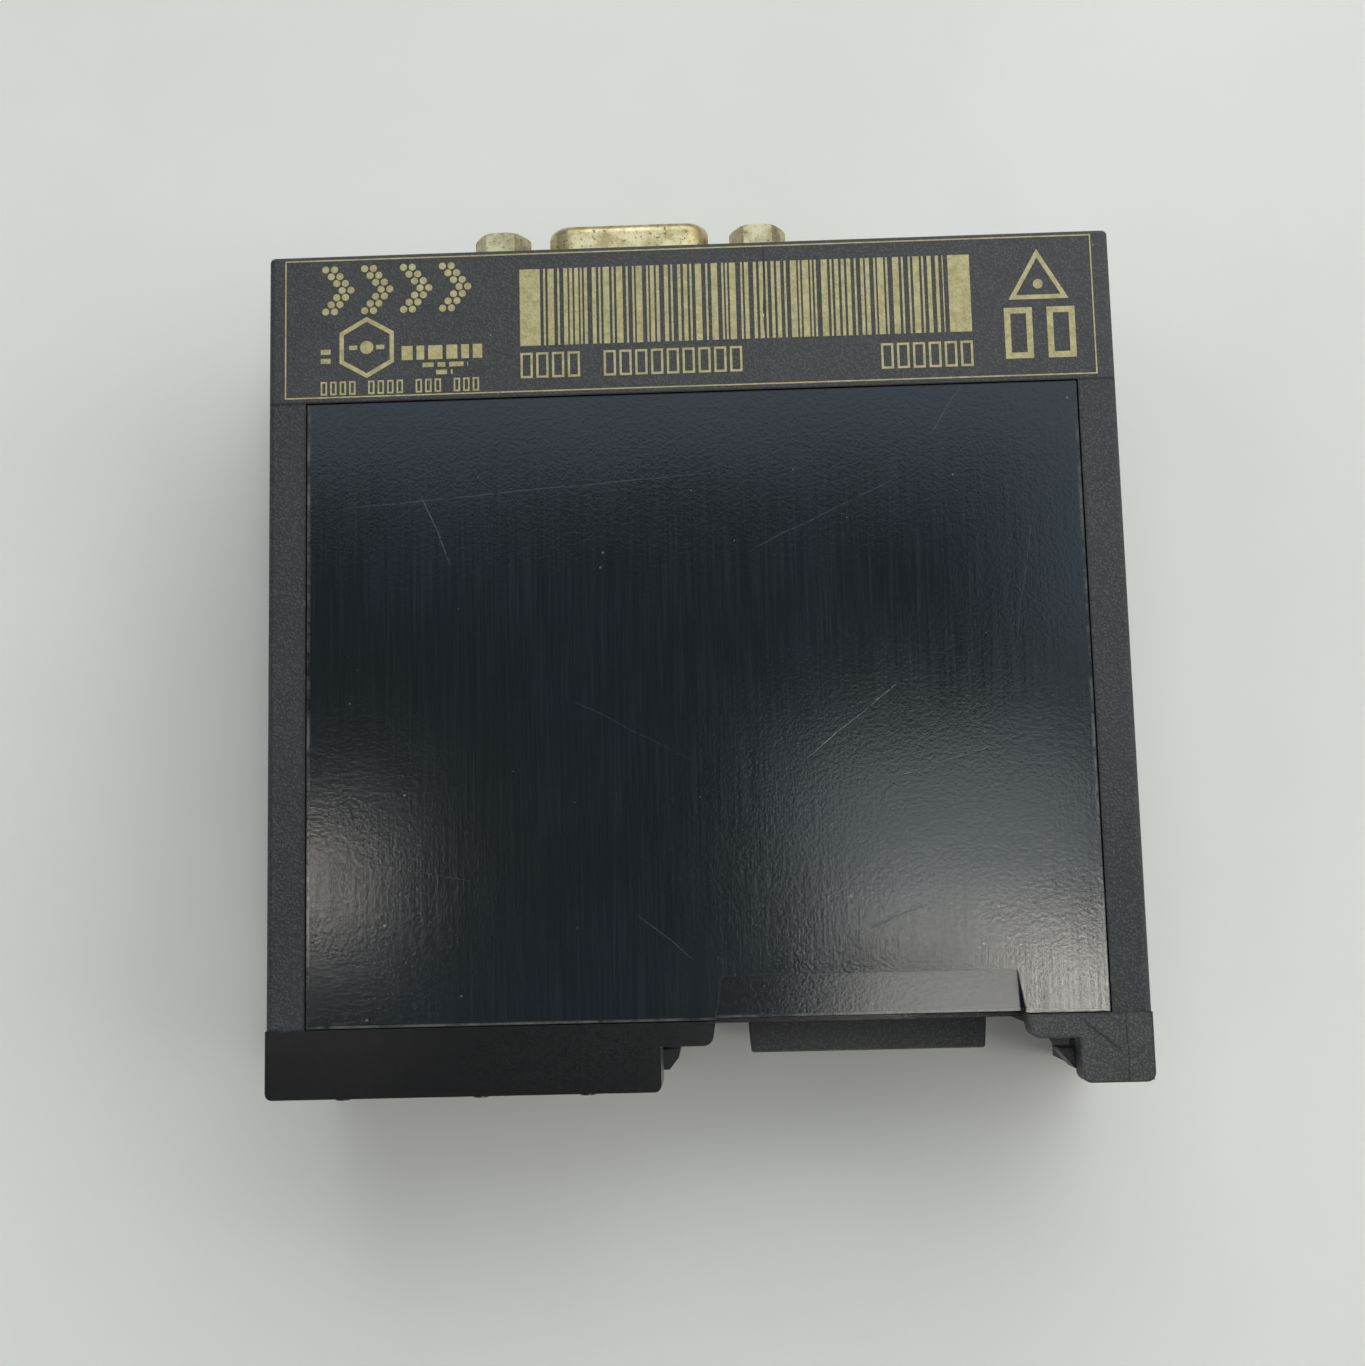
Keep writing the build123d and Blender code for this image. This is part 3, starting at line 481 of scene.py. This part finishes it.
cap_plastic = grained_plastic(
    "cap_grain", linear(47, 47, 48), linear(55, 55, 56), 0.5, 0.06 * mm, seam_at=seam, lines=cap_crack
)
shell_plastic = grained_plastic(
    "shell_grain", linear(35, 37, 40), linear(44, 45, 48), 0.48, 0.07 * mm, seam_at=seam
)
base_plastic = grained_plastic(
    "base_grain",
    linear(46, 46, 47),
    linear(58, 58, 59),
    0.44,
    0.06 * mm,
    5000.0,
    peak_highlight=0.2,
    lines=leg_marks,
    glossy_span=(-22 * mm, -16 * mm),
)
socket_plastic = grained_plastic("socket_grain", linear(38, 38, 39), linear(50, 50, 51), 0.46, 0.09 * mm)
ink = gold_ink()
dark_ink = smooth_plastic("dark_ink", linear(52, 54, 58), 0.5)
chip_black = smooth_plastic("chip_black", linear(28, 28, 30), 0.45)
screw_plate = plated_metal("screw_plate", linear(190, 182, 146), linear(140, 130, 98), 0.3, 0.6)
zinc_plate = plated_metal("zinc_plate", linear(196, 196, 192), linear(160, 160, 156), 0.3, 0.3)
gold_plate = brushed_steel("gold_plate", linear(226, 190, 110), 0.22)
spring_wire = brushed_steel("spring_wire", linear(182, 182, 184), 0.26)
can_metal = brushed_steel("can_metal", linear(206, 206, 208), 0.24)

finishes = {
    "front_cap": cap_plastic,
    "body_shell": shell_plastic,
    "side_cover": cover_plastic(),
    "rear_base": base_plastic,
    "rail_clip": smooth_plastic("clip_plastic", linear(26, 26, 29), 0.34),
    "clip_spring": spring_wire,
    "port_shell": plated_metal("yellow_plate", linear(205, 194, 152), linear(160, 146, 104), 0.28, 0.7),
    "port_insulator": smooth_plastic("insulator_black", linear(24, 24, 26), 0.4),
    "port_contacts": gold_plate,
    "port_bracket": zinc_plate,
    "jackscrews": screw_plate,
    "jack_washers": screw_plate,
    "jack_nuts": zinc_plate,
    "bus_socket": socket_plastic,
    "bus_contacts": gold_plate,
    "main_board": board_laminate(),
    "board_screws": zinc_plate,
    "controller_chip": chip_black,
    "bus_chip": chip_black,
    "memory_chip": chip_black,
    "driver_chip": chip_black,
    "chip_leads": brushed_steel("tin_plate", linear(200, 200, 200), 0.3),
    "optocouplers": smooth_plastic("coupler_white", linear(214, 212, 204), 0.45),
    "power_converter": smooth_plastic("converter_case", linear(36, 36, 40), 0.5),
    "crystal": can_metal,
    "capacitors": can_metal,
    "capacitor_seats": chip_black,
    "choke": smooth_plastic("ferrite", linear(48, 46, 46), 0.6),
    "chip_resistors": smooth_plastic("resistor_body", linear(40, 40, 44), 0.3),
    "status_leds": smooth_plastic("led_body", linear(226, 224, 216), 0.25),
    "light_pipes": clear_plastic("light_pipe", linear(232, 238, 236)),
    "status_foil": smooth_plastic("status_foil", linear(150, 152, 154), 0.35, 0.2),
    "name_card": smooth_plastic("name_card", linear(224, 222, 214), 0.7),
    "card_window": clear_plastic("card_window", linear(240, 244, 244), 0.08),
}

for name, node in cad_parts.items():
    node.data.materials.clear()
    node.data.materials.append(finishes[name])

# ---------------------------------------------------------------- new pieces


def as_object(name, mesh, finish):
    """Turns a bmesh into an object at the origin, with its finish."""
    data = bpy.data.meshes.new(name)
    mesh.to_mesh(data)
    mesh.free()
    piece = bpy.data.objects.new(name, data)
    scene.collection.objects.link(piece)
    data.materials.append(finish)
    return piece


def add_rectangle(mesh, place, wide, tall):
    """A flat rectangle of this size, about the middle of a place given as a matrix."""
    sized = place @ Matrix.Diagonal((wide, tall, 1, 1))
    bmesh.ops.create_grid(mesh, x_segments=1, y_segments=1, size=0.5, matrix=sized)


# ---------------------------------------------------------------- the gold print on the cap
ink_lift = 0.01 * mm
ink_thick = 0.012 * mm


def print_at(across, down):
    """A point of the print: millimetres in from the module's lower end, and back from its front face."""
    return Vector((cap_high.x - across * mm, cap_low.y + down * mm, cap_high.z + ink_lift))


def add_bar(mesh, across, down, wide, tall):
    """A filled rectangle whose upper left corner is at (across, down)."""
    centre = Matrix.Translation(print_at(across + wide / 2, down + tall / 2))
    add_rectangle(mesh, centre, wide * mm, tall * mm)


def add_disc(mesh, across, down, radius):
    """A small filled disc with its middle at (across, down)."""
    centre = Matrix.Translation(print_at(across, down))
    bmesh.ops.create_circle(mesh, cap_ends=True, segments=12, radius=radius * mm, matrix=centre)


def add_ring(mesh, place, sides, radius, line):
    """A regular outline of so many sides, drawn with a line of this width."""
    circle = bmesh.ops.create_circle(mesh, cap_ends=True, segments=sides, radius=radius * mm, matrix=place)
    faces = list({face for vert in circle["verts"] for face in vert.link_faces})
    bmesh.ops.inset_region(mesh, faces=faces, thickness=line * mm, use_boundary=True)
    bmesh.ops.delete(mesh, geom=faces, context="FACES_ONLY")


def add_outline(mesh, across, down, wide, tall, line):
    """An open rectangle drawn as four bars."""
    add_bar(mesh, across, down, wide, line)
    add_bar(mesh, across, down + tall - line, wide, line)
    add_bar(mesh, across, down + line, line, tall - 2 * line)
    add_bar(mesh, across + wide - line, down + line, line, tall - 2 * line)


def add_box_row(mesh, across, down, tall, line, wide, gap, count, skipped=()):
    """A row of open boxes in place of lettering; the skipped ones leave a space."""
    for i in range(count):
        if i not in skipped:
            add_outline(mesh, across + i * (wide + gap), down, wide, tall, line)


def print_piece(name, mesh, lift=(0, 0, ink_thick), finish=ink):
    """Gives the flat print its thickness and puts it on the module."""
    raised = bmesh.ops.extrude_face_region(mesh, geom=list(mesh.faces))
    verts = [v for v in raised["geom"] if isinstance(v, bmesh.types.BMVert)]
    bmesh.ops.translate(mesh, verts=verts, vec=lift)
    bmesh.ops.recalc_face_normals(mesh, faces=mesh.faces)
    piece = as_object(name, mesh, finish)
    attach(piece, "module")


def border_line():
    """A thin frame round the whole print."""
    mesh = bmesh.new()
    add_outline(mesh, 1.5, 0.42, 72.9, 12.95, 0.12)
    print_piece("border_line", mesh)


def stripe_block():
    """A plain block of stripes between two solid bars. The stripes repeat out of step and say nothing."""
    mesh = bmesh.new()
    down, tall = 1.95, 7.15
    first, last = 25.0, 61.1
    add_bar(mesh, 22.85, down, 1.85, tall)
    add_bar(mesh, 61.5, down, 1.95, tall)
    widths = (0.18, 0.36, 0.18, 0.56, 0.28, 0.56, 0.18, 0.36)
    gaps = (0.22, 0.44, 0.16, 0.32, 0.24, 0.18, 0.38)
    at = first
    i = 0
    while at < last:
        wide = min(widths[(i * 5 + i // 7) % len(widths)], last - at)
        add_bar(mesh, at, down, wide, tall)
        at += wide + gaps[(i * 3 + i // 5) % len(gaps)]
        i += 1
    print_piece("stripe_block", mesh)


def dot_mark():
    """A plain emblem: four chevrons, each two dots thick."""
    mesh = bmesh.new()
    chevrons, lanes, steps = 4, 2, 7
    middle = steps // 2
    for chevron in range(chevrons):
        for lane in range(lanes):
            for step in range(steps):
                lean = (middle - abs(step - middle)) * 0.5
                add_disc(mesh, 5.2 + chevron * 3.55 + lane * 0.8 + lean, 1.35 + step * 0.66, 0.33)
    print_piece("dot_mark", mesh)


def small_marks():
    """A hexagon round a plain terminal sign, with short dashes beside it."""
    mesh = bmesh.new()
    across, down = 8.93, 8.75
    add_ring(mesh, Matrix.Translation(print_at(across, down)), 6, 2.85, 0.45)
    add_disc(mesh, across, down, 0.62)
    add_bar(mesh, across - 1.6, down - 0.2, 0.75, 0.4)
    add_bar(mesh, across + 0.85, down - 0.2, 0.75, 0.4)
    add_bar(mesh, 4.75, 8.85, 0.9, 0.45)
    add_bar(mesh, 4.75, 9.7, 0.9, 0.45)
    widths, gap = (1.0, 0.7, 1.3), 0.35
    rows = ((12.1, 8.75, 7.3, 1.3), (14.0, 10.35, 4.1, 0.42), (15.2, 11.05, 1.5, 0.42))
    for start, down, run, tall in rows:
        at = start
        i = 0
        while at < start + run:
            wide = min(widths[i % len(widths)], start + run - at)
            add_bar(mesh, at, down, wide, tall)
            at += wide + gap
            i += 1
    print_piece("small_marks", mesh)


def ruled_rows():
    """Rows of open boxes: one small row, and three large ones under the stripes."""
    mesh = bmesh.new()
    add_box_row(mesh, 4.75, 11.85, 1.25, 0.15, 0.58, 0.28, 17, skipped=(4, 9, 13))
    for across, down, count in ((22.85, 9.75, 4), (30.35, 9.75, 9), (55.25, 9.95, 6)):
        add_box_row(mesh, across, down, 2.35, 0.2, 1.1, 0.32, count)
    print_piece("ruled_rows", mesh)


def handling_signs():
    """A triangle with a dot in it, over two open boxes."""
    mesh = bmesh.new()
    across, down = 69.5, 4.75
    point_forward = Matrix.Rotation(math.radians(180), 4, "Z")
    add_ring(mesh, Matrix.Translation(print_at(across, down)) @ point_forward, 3, 3.1, 0.8)
    add_disc(mesh, across, down + 0.15, 0.45)
    add_box_row(mesh, 66.35, 7.05, 4.7, 0.55, 2.5, 1.3, 2)
    print_piece("handling_signs", mesh)


def foil_marks():
    """Plain dashes over the status lights, and a thin frame round them, on the front face."""
    foil_low, foil_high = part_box("status_foil")
    pipe_low, pipe_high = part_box("light_pipes")
    mesh = bmesh.new()
    foil_lift = 0.006 * mm
    face = Matrix.Translation((0, foil_low.y - foil_lift, 0)) @ Matrix.Rotation(math.radians(90), 4, "X")

    def bar(left, low, wide, tall):
        add_rectangle(mesh, face @ Matrix.Translation((left + wide / 2, low + tall / 2, 0)), wide, tall)

    line, inset = 0.14 * mm, 0.9 * mm
    left, low = foil_low.x + inset, foil_low.z + inset
    wide = foil_high.x - foil_low.x - 2 * inset
    tall = foil_high.z - foil_low.z - 2 * inset
    bar(left, low, wide, line)
    bar(left, low + tall - line, wide, line)
    bar(left, low, line, tall)
    bar(left + wide - line, low, line, tall)

    lights = 4
    light_wide = pipe_high.z - pipe_low.z
    pitch = (pipe_high.x - pipe_low.x - light_wide) / (lights - 1)
    for i in range(lights):
        middle = pipe_low.x + light_wide / 2 + i * pitch
        for row, run in enumerate((2.2 * mm, 1.32 * mm)):
            bar(middle - run / 2, pipe_high.z + (1.0 + 0.9 * row) * mm, run, 0.38 * mm)
    print_piece("foil_marks", mesh, (0, -ink_thick, 0), dark_ink)


border_line()
stripe_block()
foil_marks()
dot_mark()
small_marks()
ruled_rows()
handling_signs()

# ---------------------------------------------------------------- the spring


def coil_spring():
    """A round wire wound along X, in place of the model's plain one."""
    mesh = bmesh.new()
    wire, turns, steps_a_turn = 0.22 * mm, 9, 28
    middle = (spring_low + spring_high) / 2
    radius = (spring_high.y - spring_low.y) / 2 - wire
    whole = spring_high.x - spring_low.x
    start = Vector((spring_low.x + wire, middle.y + radius, middle.z))
    place = Matrix.Translation(start)
    bmesh.ops.create_circle(mesh, cap_ends=False, segments=10, radius=wire, matrix=place)
    steps = turns * steps_a_turn
    bmesh.ops.spin(
        mesh,
        geom=mesh.verts[:] + mesh.edges[:],
        cent=(start.x, middle.y, middle.z),
        axis=(1, 0, 0),
        dvec=((whole - 2 * wire) / steps, 0, 0),
        angle=turns * 2 * math.pi,
        steps=steps,
        use_duplicate=False,
    )
    bmesh.ops.holes_fill(mesh, edges=[edge for edge in mesh.edges if edge.is_boundary], sides=0)
    bmesh.ops.recalc_face_normals(mesh, faces=mesh.faces)
    for face in mesh.faces:
        face.smooth = True
    piece = as_object("coil_spring", mesh, spring_wire)
    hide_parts("clip_spring")
    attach(piece, "module")
    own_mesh(piece)


coil_spring()

# ---------------------------------------------------------------- floor


def pale_floor():
    """A wide plain floor, very faintly clouded."""
    mesh = bmesh.new()
    bmesh.ops.create_grid(mesh, x_segments=1, y_segments=1, size=1.5)
    paint, t, shader, where = start_material("pale_floor")
    smudge = t.ramp(t.noise(where, 12.0, 5.0, 0.6), 0.3, 0.7)
    finish_shader(t, shader, t.mix(smudge, linear(226, 225, 219), linear(232, 231, 225)), 0.6)
    as_object("floor", mesh, paint)


pale_floor()

# ---------------------------------------------------------------- light
world = bpy.data.worlds.new("studio")
world.use_nodes = True
sky = world.node_tree.nodes["Background"].inputs
sky["Color"].default_value = (0.90, 0.96, 1.0, 1.0)
sky["Strength"].default_value = 0.22
scene.world = world

ceiling = 0.62
module_middle = (0.0, 0.0, 0.01)


def soft_box(name, at, size, glow, colour=(1.0, 1.0, 1.0), aim=module_middle):
    """A rectangular lamp at a place in metres that looks at aim; glow is how bright its face is."""
    lamp = bpy.data.lights.new(name, "AREA")
    lamp.shape = "RECTANGLE"
    lamp.size, lamp.size_y = size
    lamp.energy = glow * math.pi * size[0] * size[1]
    lamp.color = colour
    holder = bpy.data.objects.new(name, lamp)
    holder.location = at
    holder.rotation_euler = (Vector(aim) - Vector(at)).to_track_quat("-Z", "Y").to_euler()
    scene.collection.objects.link(holder)


def ceiling_box(name, across, back, size, glow, colour):
    """A small lamp that hangs level above the module, seen only as a reflection in its glossy side."""
    soft_box(name, (across, back, ceiling), size, glow, colour, (across, back, 0.0))


soft_box("window", (-0.55, -1.5, 1.25), (2.4, 1.4), 2.25, (0.99, 1.0, 0.99))
soft_box("side", (-1.4, -0.1, 1.0), (1.3, 1.2), 1.7)
soft_box("far_side", (1.4, -0.1, 1.0), (1.3, 1.2), 0.4)
soft_box("rear_low", (-0.30, 1.0, 0.19), (0.45, 0.24), 5.0, (1.0, 0.98, 0.93))
ceiling_box("front_haze", -0.03, -0.30, (0.62, 0.26), 1.35, (0.74, 0.87, 1.0))
ceiling_box("front_right_haze", -0.22, -0.17, (0.16, 0.20), 1.2, (0.70, 0.86, 1.0))
ceiling_box("rear_haze", -0.104, 0.000, (0.135, 0.080), 2.5, (0.84, 0.94, 1.0))
ceiling_box("rear_band", -0.094, 0.042, (0.078, 0.018), 20.0, (1.0, 0.95, 0.84))
ceiling_box("rear_corner", -0.152, 0.078, (0.040, 0.062), 20.0, (1.0, 0.95, 0.86))
ceiling_box("left_haze", 0.160, 0.006, (0.036, 0.060), 1.4, (1.0, 0.96, 0.93))
ceiling_box("left_corner", 0.184, 0.017, (0.020, 0.034), 24.0, (1.0, 0.93, 0.84))

# ---------------------------------------------------------------- camera
eye = bpy.data.cameras.new("eye")
eye.lens = 44.99
eye.sensor_width = 36.0
eye.clip_start = 10 * mm
camera = bpy.data.objects.new("camera", eye)
camera.location = (-2.46 * mm, 23.77 * mm, 173.94 * mm)
camera.rotation_euler = Euler([math.radians(angle) for angle in (7.065, 1.619, 178.585)])
scene.collection.objects.link(camera)
scene.camera = camera
